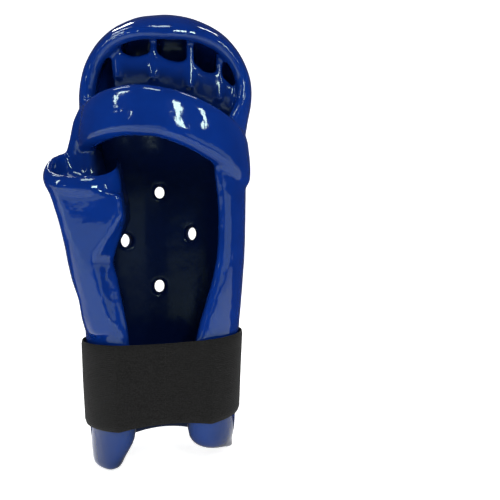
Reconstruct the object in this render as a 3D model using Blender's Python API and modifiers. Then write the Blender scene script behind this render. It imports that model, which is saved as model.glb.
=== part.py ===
"""Hand and forearm guard for sparring: a dipped foam mitt with an elastic wrist strap.

The guard is for a left hand. It stands on its elbow end: +Z runs from the elbow end to the
fingertips, the palm side faces -Y and the thumb side faces -X. Every foam piece has a core
and a vinyl skin. The strap opens on three hinges, whose axes run straight across it.
"""
import math

import bmesh
import bpy
from mathutils import Matrix, Vector

# ---------------------------------------------------------------- driving dimensions, metres
SPINE_X = 0.0063            # x of the middle of the back
BACK_Y = 0.0413             # y of the outermost back surface; depth is measured from it
HOOD_CENTRE_Z = 0.263       # centre of the round finger hood
HOOD_RADIUS = 0.0662
HOOD_DEPTH = 0.0425         # depth at which the hood is widest
HOOD_RIM_SIDE = 112.0       # degrees from the back at which the hood's wall ends at its sides
HOOD_RIM_MORE = 31.0        # and how much further it comes over the fingertips
LIFT = 0.0060               # heights are given from this far above the elbow end
WALL = 0.012                # foam and skin together
SKIN = 0.0008               # dipped vinyl
GAP = 0.0003                # between touching pieces
CORE_INSET = SKIN + GAP
GLUE_CLEARANCE = 0.0005     # round a glued end, where two curved walls meet
CAGE_SWELL = 1.045          # a cage stands outside the smooth surface that it controls
RIB_STEPS = 5
HOOD_STEPS = 8

VENT_RADIUS = 0.0060
VENT_CUTTER_LENGTH = 0.030
BACK_HALF_WIDTH = 0.0610    # half width of the shell where the vents are
VENTS = ((-0.008, 0.199), (-0.0355, 0.1585), (0.0195, 0.1645), (-0.008, 0.1205))

STRAP_LOW = 0.027
STRAP_HIGH = 0.087
STRAP_SLOPE = 0.040         # the strap is wrapped a little higher on the little finger side
STRAP_THICK = 0.0018
TAPE_THICK = 0.0013
STRAP_REST = 0.0010         # strap stands this far off the shell
TAPE_SHORT = 0.0015         # the tapes stop this far inside the strap's edges
TAPE_LEVEL = STRAP_REST + TAPE_THICK + GAP
TAIL_LEVEL = TAPE_LEVEL + TAPE_THICK + GAP
HINGE_GAP = 0.0018          # half the gap between two strap pieces at a hinge
PALM_SPAN_LENGTH = 0.070    # the stretch that crosses the open palm side
PALM_SPAN_BOW = 0.004       # how far it stands out in its middle
FOREARM_RADIUS = 0.050      # mean radius, for turning a distance into an angle
TAIL_RAMP = 18.0            # degrees in which the tail comes down from the tapes to the shell
STITCH_MARGIN = 0.002       # the sewing stops this far inside the strap's edges
THREAD_RADIUS = 0.0004

# Angles round the forearm, in degrees from the middle of the back, + towards the little finger.
BAND_END = -2.0
TAPE_END = 32.0
TAIL_TIP = 5.0
HEM_END = -7.0
TAIL_HINGE = 62.0
SIDE_HINGE = 142.0
PALM_HINGE = -150.0

# Side of the shell from the elbow end to the hood: height, half width on the thumb side and
# on the little finger side, depth at the widest place, depth of the back, and the angles at
# which the wall ends on the thumb side and on the little finger side.
SIDE_STATIONS = (
    (-0.0140, 0.0530, 0.0500, 0.0385, 0.0030, 124, 62),
    (-0.0050, 0.0540, 0.0510, 0.0390, 0.0028, 136, 84),
    (0.0030, 0.0548, 0.0520, 0.0393, 0.0026, 142, 106),
    (0.0120, 0.0554, 0.0528, 0.0397, 0.0024, 146, 128),
    (0.030, 0.0565, 0.0537, 0.0405, 0.0020, 150, 140),
    (0.057, 0.0580, 0.0547, 0.0415, 0.0010, 152, 144),
    (0.087, 0.0590, 0.0560, 0.0425, 0.0005, 153, 146),
    (0.115, 0.0612, 0.0582, 0.0430, 0.0000, 151, 142),
    (0.140, 0.0630, 0.0600, 0.0430, 0.0000, 147, 137),
    (0.160, 0.0620, 0.0605, 0.0430, 0.0000, 114, 134),
    (0.187, 0.0605, 0.0612, 0.0430, 0.0000, 105, 134),
    (0.212, 0.0600, 0.0605, 0.0430, 0.0000, 105, 131),
    (0.237, 0.0605, 0.0600, 0.0425, 0.0000, 109, 112),
)
# How far the hood reaches from its centre, from the thumb side over the top.
HOOD_REACH = (0.0640, 0.0655, 0.0675, 0.0672, 0.0660, 0.0688, 0.0705, 0.0698, 0.0665)

# Thumb sheath from the bottom up: height, outer x on both sides, rear and front depth.
THUMB_SECTIONS = (
    (0.138, -0.0620, -0.0380, 0.052, 0.0830),
    (0.150, -0.0655, -0.0320, 0.048, 0.0845),
    (0.166, -0.0705, -0.0220, 0.046, 0.0855),
    (0.183, -0.0755, -0.0200, 0.045, 0.0860),
    (0.198, -0.0790, -0.0230, 0.045, 0.0860),
    (0.208, -0.0795, -0.0290, 0.046, 0.0840),
    (0.216, -0.0765, -0.0350, 0.048, 0.0790),
    (0.222, -0.0700, -0.0410, 0.053, 0.0710),
)
THUMB_SIDES = 12
THUMB_BORE_RADIUS = 0.0105
THUMB_BORE_START = (-0.026, 0.050, 0.126)
THUMB_BORE_END = (-0.052, 0.066, 0.196)
THUMB_TIP_HOLE_RADIUS = 0.004

PALM_BAR_WIDTH_RADIUS = 0.0570
PALM_BAR_DEPTH_RADIUS = 0.0405
PALM_BAR_THICK = 0.0160
PALM_BAR_STEPS = 12
PALM_BAR_ENDS = (-103.0, 103.0)
PALM_BAR_CREST_X = -0.0200  # the bar is an arch, highest here
PALM_BAR_CREST_Z = 0.2465
PALM_BAR_DROOP = 4.4        # fall per square metre away from the crest
PALM_BAR_HALF_HEIGHT = 0.0175
PALM_BAR_WIDENING = 0.0045  # more half height at the little finger's end
BAND_SIDES = 12

FINGER_BAR_THICK = 0.0110
FINGER_BAR_HEIGHT = 0.0260
FINGER_BAR_LEFT = -0.0385
FINGER_BAR_RIGHT = 0.0560
FINGER_BAR_STEPS = 10
FINGER_BAR_DEPTH = 0.0555   # at the middle; the bar bends back towards both walls
FINGER_BAR_BEND = 3.5
FINGER_BAR_CREST_X = -0.0300
FINGER_BAR_CREST_Z = 0.2790
FINGER_BAR_DROOP = 2.7
DIVIDER_X = (-0.0340, -0.0080, 0.0185, 0.0405)
DIVIDER_THICK = 0.0050
DIVIDER_FOOT = 0.0040       # each web starts this far above the bar's middle
DIVIDER_SETBACK = 0.0020    # and this far behind the bar's face

BLUE = (0.012, 0.040, 0.262, 1.0)
FOAM_GREY = (0.055, 0.055, 0.060, 1.0)
BLACK = (0.018, 0.018, 0.019, 1.0)
PILE_BLACK = (0.008, 0.008, 0.009, 1.0)
THREAD_GREY = (0.045, 0.045, 0.048, 1.0)


# ---------------------------------------------------------------- scene and small helpers
def clear_scene():
    for item in list(bpy.data.objects):
        bpy.data.objects.remove(item, do_unlink=True)


def new_collection(name):
    collection = bpy.data.collections.new(name)
    bpy.context.scene.collection.children.link(collection)
    return collection


clear_scene()
PARTS = new_collection("forearm_guard")
CUTTERS = new_collection("cutters")


def make_material(name, colour, roughness):
    material = bpy.data.materials.new(name)
    material.use_nodes = True
    shader = material.node_tree.nodes["Principled BSDF"]
    shader.inputs["Base Color"].default_value = colour
    shader.inputs["Roughness"].default_value = roughness
    shader.inputs["Metallic"].default_value = 0.0
    return material


def place(x, depth, z):
    """A point given from the middle of the back, its depth towards the palm, and its height."""
    return Vector((x + SPINE_X, BACK_Y - depth, z + LIFT))


def mesh_from(name, verts, faces):
    """A mesh whose faces all point outwards."""
    mesh = bpy.data.meshes.new(name)
    mesh.from_pydata(verts, [], faces)
    bm = bmesh.new()
    bm.from_mesh(mesh)
    bmesh.ops.recalc_face_normals(bm, faces=bm.faces)
    bm.to_mesh(mesh)
    bm.free()
    return mesh


def add_part(name, mesh, colour, roughness, pivot=None):
    """One node of the guard. A moving one has its origin on its hinge's axis."""
    part = bpy.data.objects.new(name, mesh)
    PARTS.objects.link(part)
    mesh.materials.clear()
    mesh.materials.append(make_material(name + "_material", colour, roughness))
    mesh.shade_smooth()
    if pivot is not None:
        for vert in mesh.vertices:
            vert.co -= pivot
        part.location = pivot
    return part


def add_cutter(name, mesh):
    cutter = bpy.data.objects.new(name, mesh)
    CUTTERS.objects.link(cutter)
    cutter.hide_render = True
    cutter.display_type = "WIRE"
    return cutter


def cut(part, cutter, operation="DIFFERENCE"):
    modifier = part.modifiers.new("cut_" + cutter.name, "BOOLEAN")
    modifier.operation = operation
    modifier.solver = "EXACT"
    modifier.object = cutter


def thicken(part, thickness, even=False):
    modifier = part.modifiers.new("thickness", "SOLIDIFY")
    modifier.thickness = thickness
    modifier.offset = -1.0
    modifier.use_even_offset = even


def evaluated_mesh(source, name):
    """The mesh that an object's modifiers make, after which the object is removed."""
    depsgraph = bpy.context.evaluated_depsgraph_get()
    mesh = bpy.data.meshes.new_from_object(source.evaluated_get(depsgraph))
    mesh.name = name
    bpy.data.objects.remove(source, do_unlink=True)
    return mesh


def split_quads(mesh):
    """Split every quad along the same diagonal, so that offset copies keep their distance."""
    bm = bmesh.new()
    bm.from_mesh(mesh)
    quads = [face for face in bm.faces if len(face.verts) == 4]
    bmesh.ops.triangulate(bm, faces=quads, quad_method="FIXED")
    bm.to_mesh(mesh)
    bm.free()


def offset_mesh(mesh, distance, name):
    """A copy of a closed mesh, moved out (+) or in (-) along its normals."""
    copy = mesh.copy()
    copy.name = name
    normals = [vert.normal.copy() for vert in mesh.vertices]
    for vert, normal in zip(copy.vertices, normals):
        vert.co += normal * distance
    return copy


def cut_flat(mesh, height):
    """Take away what is below a height and close the mesh with one flat face."""
    bm = bmesh.new()
    bm.from_mesh(mesh)
    geometry = bm.verts[:] + bm.edges[:] + bm.faces[:]
    result = bmesh.ops.bisect_plane(bm, geom=geometry, dist=1e-7, plane_co=(0, 0, height),
                                    plane_no=(0, 0, 1), clear_inner=True)
    rim = [item for item in result["geom_cut"] if isinstance(item, bmesh.types.BMEdge)]
    flat = bmesh.ops.edgeloop_fill(bm, edges=rim)["faces"]
    bmesh.ops.recalc_face_normals(bm, faces=bm.faces)
    bmesh.ops.triangulate(bm, faces=flat)
    bm.to_mesh(mesh)
    bm.free()


def loft(name, rings, cap_start=True, cap_end=True):
    """A surface through closed rings that all have the same number of points."""
    count = len(rings[0])
    verts = [point for ring in rings for point in ring]
    faces = []
    for row in range(len(rings) - 1):
        for side in range(count):
            after = (side + 1) % count
            low = row * count
            high = low + count
            faces.append((low + side, low + after, high + after, high + side))
    if cap_start:
        faces.append(tuple(range(count)))
    if cap_end:
        faces.append(tuple(range(len(verts) - count, len(verts))))
    mesh = mesh_from(name, verts, faces)
    split_quads(mesh)
    return mesh


def rounded(angle, power):
    """Cosine and sine of an angle, pushed out towards a box as the power falls below 1."""
    cosine = math.cos(angle)
    sine = math.sin(angle)
    return (math.copysign(abs(cosine) ** power, cosine), math.copysign(abs(sine) ** power, sine))


# ---------------------------------------------------------------- the shell and hood
def wall_point(centre_z, heading, reach, depth_radius, back_depth, angle):
    """A point of the outer wall, angle radians round from the back towards a heading."""
    out = reach * math.sin(angle)
    depth = back_depth + depth_radius * (1.0 - math.cos(angle))
    return place(out * math.cos(heading), depth, centre_z + out * math.sin(heading))


def shell_stations():
    """Ribs from the elbow end up the thumb side, over the hood and down the other side."""
    stations = []
    for z, thumb, _, depth, back, rim, _ in SIDE_STATIONS:
        stations.append((z, math.pi, thumb, depth, back, math.radians(rim)))
    for step in range(HOOD_STEPS + 1):
        heading = math.pi * (1.0 - step / HOOD_STEPS)
        reach = HOOD_REACH[step]
        rim = math.radians(HOOD_RIM_SIDE + HOOD_RIM_MORE * math.sin(heading) ** 2)
        stations.append((HOOD_CENTRE_Z, heading, reach, HOOD_DEPTH, 0.0, rim))
    for z, _, little, depth, back, _, rim in reversed(SIDE_STATIONS):
        stations.append((z, 0.0, little, depth, back, math.radians(rim)))
    return stations


def shell_outside():
    """The open outer surface of the shell, as a coarse cage."""
    stations = shell_stations()
    verts = []
    spine = {}
    ribs = []
    for z, heading, reach, depth, back, rim in stations:
        if z not in spine:
            spine[z] = len(verts)
            verts.append(place(0.0, back, z))
        rib = [spine[z]]
        for step in range(1, RIB_STEPS + 1):
            angle = rim * step / RIB_STEPS
            rib.append(len(verts))
            verts.append(wall_point(z, heading, reach * CAGE_SWELL, depth, back, angle))
        ribs.append(rib)
    faces = []
    for rib, following in zip(ribs, ribs[1:]):
        for step in range(RIB_STEPS):
            corners = (rib[step], following[step], following[step + 1], rib[step + 1])
            faces.append(tuple(dict.fromkeys(corners)))
    return mesh_from("shell_outside", verts, faces)


def shell_solid():
    """The whole wall of the shell, 12 mm thick with rounded rims."""
    cage = bpy.data.objects.new("shell_cage", shell_outside())
    CUTTERS.objects.link(cage)
    if cage.data.polygons[0].normal.dot(Vector((0, 1, 0)) + Vector((-1, 0, 0))) < 0:
        cage.data.flip_normals()
    thicken(cage, WALL, even=True)
    smooth = cage.modifiers.new("smooth", "SUBSURF")
    smooth.levels = 1
    smooth.render_levels = 1
    whole = evaluated_mesh(cage, "shell_solid")
    split_quads(whole)
    return whole


def vent_cutter(radius, number):
    """A round cutter square through the back's wall."""
    x, z = VENTS[number]
    bpy.ops.mesh.primitive_cylinder_add(vertices=14, radius=radius, depth=VENT_CUTTER_LENGTH)
    cutter = bpy.context.object
    cutter.name = "vent_cutter_%d_%d" % (number, round(radius * 1e5))
    for collection in list(cutter.users_collection):
        collection.objects.unlink(cutter)
    CUTTERS.objects.link(cutter)
    cutter.hide_render = True
    cutter.display_type = "WIRE"
    turn = math.asin(x / BACK_HALF_WIDTH)
    middle = HOOD_DEPTH * (1.0 - math.cos(turn)) + WALL / 2
    slope = math.atan2(math.sin(turn) / BACK_HALF_WIDTH, math.cos(turn) / HOOD_DEPTH)
    cutter.location = place(x, middle, z)
    cutter.rotation_euler = (math.radians(90.0), 0.0, -slope)
    return cutter


# ---------------------------------------------------------------- palm bar and finger bar
def band_ring(centre, outward, half_height, half_thick, inset):
    """A rounded cross-section standing across a band, BAND_SIDES points."""
    ring = []
    for side in range(BAND_SIDES):
        across, up = rounded(2.0 * math.pi * (side + 0.5) / BAND_SIDES, 0.7)
        ring.append(centre + outward * across * (half_thick - inset)
                    + Vector((0, 0, up * (half_height - inset))))
    return ring


def palm_bar_rings(inset):
    """Rings along the padded arch from the thumb side wall, over the palm, to the other wall."""
    start, end = PALM_BAR_ENDS
    sweep = 360.0 + start - end
    rings = []
    for step in range(PALM_BAR_STEPS + 1):
        angle = math.radians(start - sweep * step / PALM_BAR_STEPS)
        x = PALM_BAR_WIDTH_RADIUS * math.sin(angle)
        depth = PALM_BAR_DEPTH_RADIUS * (1.0 - math.cos(angle))
        centre = place(x, depth, PALM_BAR_CREST_Z - PALM_BAR_DROOP * (x - PALM_BAR_CREST_X) ** 2)
        outward = Vector((math.sin(angle) / PALM_BAR_WIDTH_RADIUS,
                          math.cos(angle) / PALM_BAR_DEPTH_RADIUS, 0.0)).normalized()
        widening = PALM_BAR_WIDENING * max(0.0, x / PALM_BAR_WIDTH_RADIUS)
        half_height = PALM_BAR_HALF_HEIGHT + widening
        rings.append(band_ring(centre, outward, half_height, PALM_BAR_THICK / 2, inset))
    return rings


def finger_bar_rings(inset):
    """Rings along the bar that the fingers close round, from its free end to the far wall."""
    rings = []
    for step in range(FINGER_BAR_STEPS + 1):
        x = FINGER_BAR_LEFT + (FINGER_BAR_RIGHT - FINGER_BAR_LEFT) * step / FINGER_BAR_STEPS
        if step == 0:
            x += inset
        centre = finger_bar_centre(x)
        slope = Vector((1.0, 2.0 * FINGER_BAR_BEND * x, 0.0)).normalized()
        outward = Vector((slope.y, -slope.x, 0.0))
        rings.append(band_ring(centre, outward, FINGER_BAR_HEIGHT / 2, FINGER_BAR_THICK / 2, inset))
    return rings


def finger_bar_centre(x):
    depth = FINGER_BAR_DEPTH - FINGER_BAR_BEND * x * x
    return place(x, depth, FINGER_BAR_CREST_Z - FINGER_BAR_DROOP * (x - FINGER_BAR_CREST_X) ** 2)


def divider_mesh(x, name):
    """A web between two fingers, from the finger bar back and up into the hood."""
    bpy.ops.mesh.primitive_cube_add(size=1.0)
    block = bpy.context.object
    bar = finger_bar_centre(x)
    low = bar.z + DIVIDER_FOOT
    high = HOOD_CENTRE_Z + HOOD_RADIUS + LIFT
    near = bar.y - FINGER_BAR_THICK / 2 + DIVIDER_SETBACK
    far = BACK_Y
    block.data.transform(matrix_for_box((x + SPINE_X - DIVIDER_THICK / 2, near, low),
                                        (x + SPINE_X + DIVIDER_THICK / 2, far, high)))
    mesh = block.data
    mesh.name = name
    bpy.data.objects.remove(block, do_unlink=True)
    return mesh


def hood_middle():
    """An ellipsoid whose surface runs inside the hood's wall; the dividers are kept within it."""
    bpy.ops.mesh.primitive_uv_sphere_add(segments=32, ring_count=16, radius=1.0)
    ball = bpy.context.object
    reach = HOOD_RADIUS - WALL / 2
    middle = place(0.0, HOOD_DEPTH, HOOD_CENTRE_Z)
    scale = Matrix.Diagonal((reach, HOOD_DEPTH - WALL / 2, reach, 1.0))
    ball.data.transform(Matrix.Translation(middle) @ scale)
    mesh = ball.data
    bpy.data.objects.remove(ball, do_unlink=True)
    return mesh


def matrix_for_box(low, high):
    """The matrix that takes a unit cube at the origin to a box between two corners."""
    low = Vector(low)
    high = Vector(high)
    size = high - low
    scale = Matrix.Diagonal((size.x, size.y, size.z, 1.0))
    return Matrix.Translation((low + high) / 2) @ scale


# ---------------------------------------------------------------- thumb sheath
def thumb_rings(inset):
    """Rings up the flattened barrel that covers the thumb."""
    rings = []
    last = len(THUMB_SECTIONS) - 1
    for row, (z, left, right, rear, front) in enumerate(THUMB_SECTIONS):
        if row == 0:
            z += inset
        if row == last:
            z -= inset
        centre = place((left + right) / 2, (rear + front) / 2, z)
        half_x = (right - left) / 2 - inset
        half_y = (front - rear) / 2 - inset
        ring = []
        for side in range(THUMB_SIDES):
            across, away = rounded(2.0 * math.pi * (side + 0.5) / THUMB_SIDES, 0.8)
            ring.append(centre + Vector((across * half_x, away * half_y, 0.0)))
        rings.append(ring)
    return rings


def thumb_bore_mesh(radius, name):
    """The slanted pocket for the thumb, wide at the palm and narrow at the tip hole."""
    start = place(*THUMB_BORE_START)
    end = place(*THUMB_BORE_END)
    tip = end + Vector((0.004, 0.0, 0.030))
    grow = radius - THUMB_BORE_RADIUS
    rings = []
    rows = ((start, 1.25), (start.lerp(end, 0.4), 1.1), (start.lerp(end, 0.8), 1.0), (end, 0.8))
    for centre, factor in rows:
        rings.append(round_ring(centre, radius * factor * 1.15, radius * factor))
    tip_radius = THUMB_TIP_HOLE_RADIUS + grow
    rings.append(round_ring(end + Vector((0.001, 0, 0.008)), tip_radius, tip_radius))
    rings.append(round_ring(tip, tip_radius, tip_radius))
    return loft(name, rings)


def round_ring(centre, half_x, half_y):
    ring = []
    for side in range(THUMB_SIDES):
        angle = 2.0 * math.pi * side / THUMB_SIDES
        ring.append(centre + Vector((math.cos(angle) * half_x, math.sin(angle) * half_y, 0.0)))
    return ring


# ---------------------------------------------------------------- strap
def forearm_size(z):
    """Half widths, depth radius and back depth of the shell at a height in the strap's range."""
    for low, high in zip(SIDE_STATIONS, SIDE_STATIONS[1:]):
        if low[0] <= z <= high[0]:
            share = (z - low[0]) / (high[0] - low[0])
            return [a + (b - a) * share for a, b in zip(low[1:5], high[1:5])]
    raise ValueError("height outside the forearm")


def strap_point(angle, z, stand_off):
    """A point stand_off outside the shell's wall at an angle in degrees from the back."""
    thumb, little, depth, back = forearm_size(z)
    turn = math.radians(angle)
    reach = little if turn > 0 else thumb
    x = (reach + stand_off) * math.sin(turn)
    return place(x, back + depth - (depth + stand_off) * math.cos(turn), z + STRAP_SLOPE * x)


def tail_stand_off(angle):
    """The tail lies over the two tapes at its end and comes down to the shell behind them."""
    share = min(1.0, max(0.0, (angle - TAPE_END - 2.0) / TAIL_RAMP))
    ease = share * share * (3.0 - 2.0 * share)
    return TAIL_LEVEL + (STRAP_REST - TAIL_LEVEL) * ease


def palm_span_point(share, z, stand_off):
    """A point on the stretch that crosses the open palm side, bowed a little outwards."""
    start = strap_point(SIDE_HINGE, z, stand_off)
    end = strap_point(PALM_HINGE, z, stand_off)
    bow = PALM_SPAN_BOW * 4.0 * share * (1.0 - share)
    return start.lerp(end, share) + Vector((0.0, -bow, 0.0))


def ribbon(name, points_at, low, high, thickness):
    """A strip whose inner face is given by points_at(z), closed into a solid."""
    rows = [points_at(low), points_at((low + high) / 2), points_at(high)]
    inner = [point for row in rows for point in row]
    count = len(rows[0])
    outer = []
    for row in rows:
        for index, point in enumerate(row):
            along = row[min(index + 1, count - 1)] - row[max(index - 1, 0)]
            outward = Vector((-along.y, along.x, 0.0)).normalized()
            outer.append(point + outward * thickness)
    shift = len(inner)
    faces = []
    for row in range(2):
        for index in range(count - 1):
            a = row * count + index
            quad = (a, a + 1, a + count + 1, a + count)
            faces.append(quad)
            faces.append(tuple(shift + corner for corner in reversed(quad)))
    for row in range(2):
        for index in (0, count - 1):
            a = row * count + index
            faces.append((a, a + count, shift + a + count, shift + a))
    for index in range(count - 1):
        for base in (0, 2 * count):
            a = base + index
            faces.append((a, a + 1, shift + a + 1, shift + a))
    return mesh_from(name, inner + outer, faces)


def spread(start, end, steps):
    return [start + (end - start) * step / steps for step in range(steps + 1)]


def gap_angle(distance):
    """The angle in degrees that a distance along the strap takes up."""
    return math.degrees(distance / FOREARM_RADIUS)


def ribbon_round(name, start, end, steps, stand_off, thickness, low=STRAP_LOW, high=STRAP_HIGH):
    """A strip round the forearm between two angles; stand_off is a number or a rule."""
    rule = stand_off if callable(stand_off) else (lambda angle: stand_off)

    def points_at(z):
        return [strap_point(angle, z, rule(angle)) for angle in spread(start, end, steps)]

    return ribbon(name, points_at, low, high, thickness)


def stitch_row(name, angle, stand_off, pivot=None):
    """One sewn line across the strap: a thread that stands on the weave."""
    curve = bpy.data.curves.new(name, "CURVE")
    curve.dimensions = "3D"
    curve.bevel_depth = THREAD_RADIUS
    curve.bevel_resolution = 1
    curve.use_fill_caps = True
    spline = curve.splines.new("POLY")
    heights = spread(STRAP_LOW + STITCH_MARGIN, STRAP_HIGH - STITCH_MARGIN, 6)
    spline.points.add(len(heights) - 1)
    for point, z in zip(spline.points, heights):
        position = strap_point(angle, z, stand_off + GAP + THREAD_RADIUS)
        point.co = (position.x, position.y, position.z, 1.0)
    source = bpy.data.objects.new(name + "_path", curve)
    CUTTERS.objects.link(source)
    mesh = evaluated_mesh(source, name)
    bm = bmesh.new()
    bm.from_mesh(mesh)
    bmesh.ops.remove_doubles(bm, verts=bm.verts, dist=1e-6)
    bmesh.ops.recalc_face_normals(bm, faces=bm.faces)
    bm.to_mesh(mesh)
    bm.free()
    return add_part(name, mesh, THREAD_GREY, 0.7, pivot)


# ---------------------------------------------------------------- foam and vinyl
def drill(part, radius):
    """Cut the four vents through a piece of the shell."""
    for number in range(len(VENTS)):
        cut(part, vent_cutter(radius, number))


def inner_cutter(name, mesh, cutters):
    """What a skin is wrapped round: a solid with its own holes, for cutting out of the skin."""
    source = bpy.data.objects.new(name + "_source", mesh)
    CUTTERS.objects.link(source)
    for cutter in cutters:
        cut(source, cutter)
    bpy.context.view_layer.update()
    return add_cutter(name, evaluated_mesh(source, name))


def build_shell():
    """The foam core and the skin of the shell, and the cutter that neighbours are trimmed by."""
    whole = shell_solid()
    trim = add_cutter("shell_trim", offset_mesh(whole, GLUE_CLEARANCE, "shell_trim"))
    core_mesh = offset_mesh(whole, -CORE_INSET, "shell_foam")
    cut_flat(core_mesh, CORE_INSET)
    core = add_part("shell_foam", core_mesh, FOAM_GREY, 0.9)
    drill(core, VENT_RADIUS + CORE_INSET)
    inside = offset_mesh(whole, -SKIN, "shell_inside")
    cut_flat(inside, SKIN)
    sleeves = [vent_cutter(VENT_RADIUS + SKIN, number) for number in range(len(VENTS))]
    cut_flat(whole, 0.0)
    skin = add_part("shell_skin", whole, BLUE, 0.12)
    cut(skin, inner_cutter("shell_inside", inside, sleeves))
    drill(skin, VENT_RADIUS)
    glued_end = loft("palm_bar_glue", palm_bar_rings(CORE_INSET))
    cut(skin, add_cutter("palm_bar_glue", glued_end))
    return trim


def build_band(name, rings_at, trim, free_start):
    """A foam bar glued between the shell's walls, and its skin, which is open at glued ends."""
    core = add_part(name + "_foam", loft(name + "_foam", rings_at(CORE_INSET)), FOAM_GREY, 0.9)
    cut(core, trim)
    surface = loft(name + "_skin", rings_at(0.0), cap_start=free_start, cap_end=False)
    skin = add_part(name + "_skin", surface, BLUE, 0.12)
    thicken(skin, SKIN)
    cut(skin, trim)


def build_thumb(trim):
    """The thumb sheath: core, and skin that is open where the shell's wall stands in it."""
    core = add_part("thumb_foam", loft("thumb_foam", thumb_rings(CORE_INSET)), FOAM_GREY, 0.9)
    core_bore = thumb_bore_mesh(THUMB_BORE_RADIUS + CORE_INSET, "thumb_core_bore")
    cut(core, add_cutter("thumb_core_bore", core_bore))
    cut(core, trim)
    sleeve = add_cutter("thumb_sleeve", thumb_bore_mesh(THUMB_BORE_RADIUS + SKIN, "thumb_sleeve"))
    inside = inner_cutter("thumb_inside", loft("thumb_inside", thumb_rings(SKIN)), [sleeve])
    skin = add_part("thumb_skin", loft("thumb_skin", thumb_rings(0.0)), BLUE, 0.12)
    cut(skin, inside)
    cut(skin, add_cutter("thumb_bore", thumb_bore_mesh(THUMB_BORE_RADIUS, "thumb_bore")))
    cut(skin, trim)


def build_strap():
    """The elastic band, its two tapes and its sewing, in four pieces that open on hinges."""
    middle = (STRAP_LOW + STRAP_HIGH) / 2
    centre = STRAP_REST + STRAP_THICK / 2
    palm_pivot = strap_point(PALM_HINGE, middle, centre)
    side_pivot = strap_point(SIDE_HINGE, middle, centre)
    tail_pivot = strap_point(TAIL_HINGE, middle, centre)
    margin = gap_angle(HINGE_GAP)

    band = ribbon_round("strap_band", PALM_HINGE + margin, BAND_END, 20, STRAP_REST, STRAP_THICK)
    add_part("strap_band", band, BLACK, 0.8)
    hem_level = STRAP_REST + STRAP_THICK + GAP
    hem = ribbon_round("band_hem", HEM_END, BAND_END, 2, hem_level, TAPE_THICK)
    add_part("band_hem", hem, BLACK, 0.8)
    tape = ribbon_round("loop_tape", BAND_END + gap_angle(GAP) * 2, TAPE_END, 7, STRAP_REST,
                        TAPE_THICK, STRAP_LOW + TAPE_SHORT, STRAP_HIGH - TAPE_SHORT)
    add_part("loop_tape", tape, PILE_BLACK, 0.95)
    stitch_row("hem_stitching", (HEM_END + BAND_END) / 2, hem_level + TAPE_THICK)

    def palm_points(z):
        inset = HINGE_GAP / PALM_SPAN_LENGTH
        return [palm_span_point(share, z, STRAP_REST) for share in spread(inset, 1 - inset, 8)]

    palm = ribbon("strap_palm_span", palm_points, STRAP_LOW, STRAP_HIGH, STRAP_THICK)
    add_part("strap_palm_span", palm, BLACK, 0.8, palm_pivot)
    side = ribbon_round("strap_side_span", TAIL_HINGE + margin, SIDE_HINGE - margin, 10,
                        tail_stand_off, STRAP_THICK)
    add_part("strap_side_span", side, BLACK, 0.8, side_pivot)
    tail = ribbon_round("strap_tail", TAIL_TIP, TAIL_HINGE - margin, 10, tail_stand_off,
                        STRAP_THICK)
    add_part("strap_tail", tail, BLACK, 0.8, tail_pivot)
    hooks = ribbon_round("hook_tape", TAIL_TIP + 1.0, TAPE_END - 4.0, 5, TAPE_LEVEL, TAPE_THICK,
                         STRAP_LOW + TAPE_SHORT, STRAP_HIGH - TAPE_SHORT)
    add_part("hook_tape", hooks, PILE_BLACK, 0.95, tail_pivot)
    outside = TAIL_LEVEL + STRAP_THICK
    stitch_row("tail_tip_stitching", TAIL_TIP + 2.0, outside, tail_pivot)
    stitch_row("tail_tape_stitching", TAPE_END - 6.0, outside, tail_pivot)


def build_fingers(trim):
    """The finger bar and the webs that stand between the fingers."""
    build_band("finger_bar", finger_bar_rings, trim, free_start=True)
    bar = loft("finger_bar_trim", finger_bar_rings(-GAP))
    bar_trim = add_cutter("finger_bar_trim", bar)
    limit = add_cutter("hood_limit", hood_middle())
    for index, x in enumerate(DIVIDER_X):
        name = "finger_divider_%d" % (index + 1)
        divider = add_part(name, divider_mesh(x, name), BLUE, 0.12)
        cut(divider, limit, "INTERSECT")
        cut(divider, trim)
        cut(divider, bar_trim)


# ---------------------------------------------------------------- assembly
shell_trim = build_shell()
build_band("palm_bar", palm_bar_rings, shell_trim, free_start=False)
build_fingers(shell_trim)
build_thumb(shell_trim)
build_strap()
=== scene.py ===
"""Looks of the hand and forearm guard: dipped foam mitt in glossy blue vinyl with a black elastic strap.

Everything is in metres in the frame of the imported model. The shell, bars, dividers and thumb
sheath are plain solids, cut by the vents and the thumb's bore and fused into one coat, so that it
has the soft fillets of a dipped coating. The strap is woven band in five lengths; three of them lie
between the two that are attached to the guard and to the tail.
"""

import math

import bmesh
import bpy
import numpy as np
from mathutils import Matrix, Vector


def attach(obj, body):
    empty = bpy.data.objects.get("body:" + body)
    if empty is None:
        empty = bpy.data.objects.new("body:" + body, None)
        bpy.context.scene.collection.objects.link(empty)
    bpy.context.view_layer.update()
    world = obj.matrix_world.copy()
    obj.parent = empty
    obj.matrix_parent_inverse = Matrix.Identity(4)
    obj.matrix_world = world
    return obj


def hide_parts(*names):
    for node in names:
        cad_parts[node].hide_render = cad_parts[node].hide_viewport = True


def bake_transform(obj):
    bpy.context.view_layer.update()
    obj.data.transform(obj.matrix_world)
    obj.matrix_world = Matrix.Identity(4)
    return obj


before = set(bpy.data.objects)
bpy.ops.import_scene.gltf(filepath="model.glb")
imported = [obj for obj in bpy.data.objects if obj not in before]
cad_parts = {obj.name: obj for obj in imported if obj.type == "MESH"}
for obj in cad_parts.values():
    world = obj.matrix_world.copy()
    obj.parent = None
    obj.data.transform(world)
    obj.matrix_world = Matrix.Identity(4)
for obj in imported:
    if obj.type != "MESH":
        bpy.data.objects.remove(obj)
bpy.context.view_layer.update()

# ---------------------------------------------------------------- sizes shared with the frame
SPINE_X = 0.0063
BACK_Y = 0.0413
LIFT = 0.0060
HOOD_CENTRE_Z = 0.263
HOOD_DEPTH = 0.0425
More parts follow.
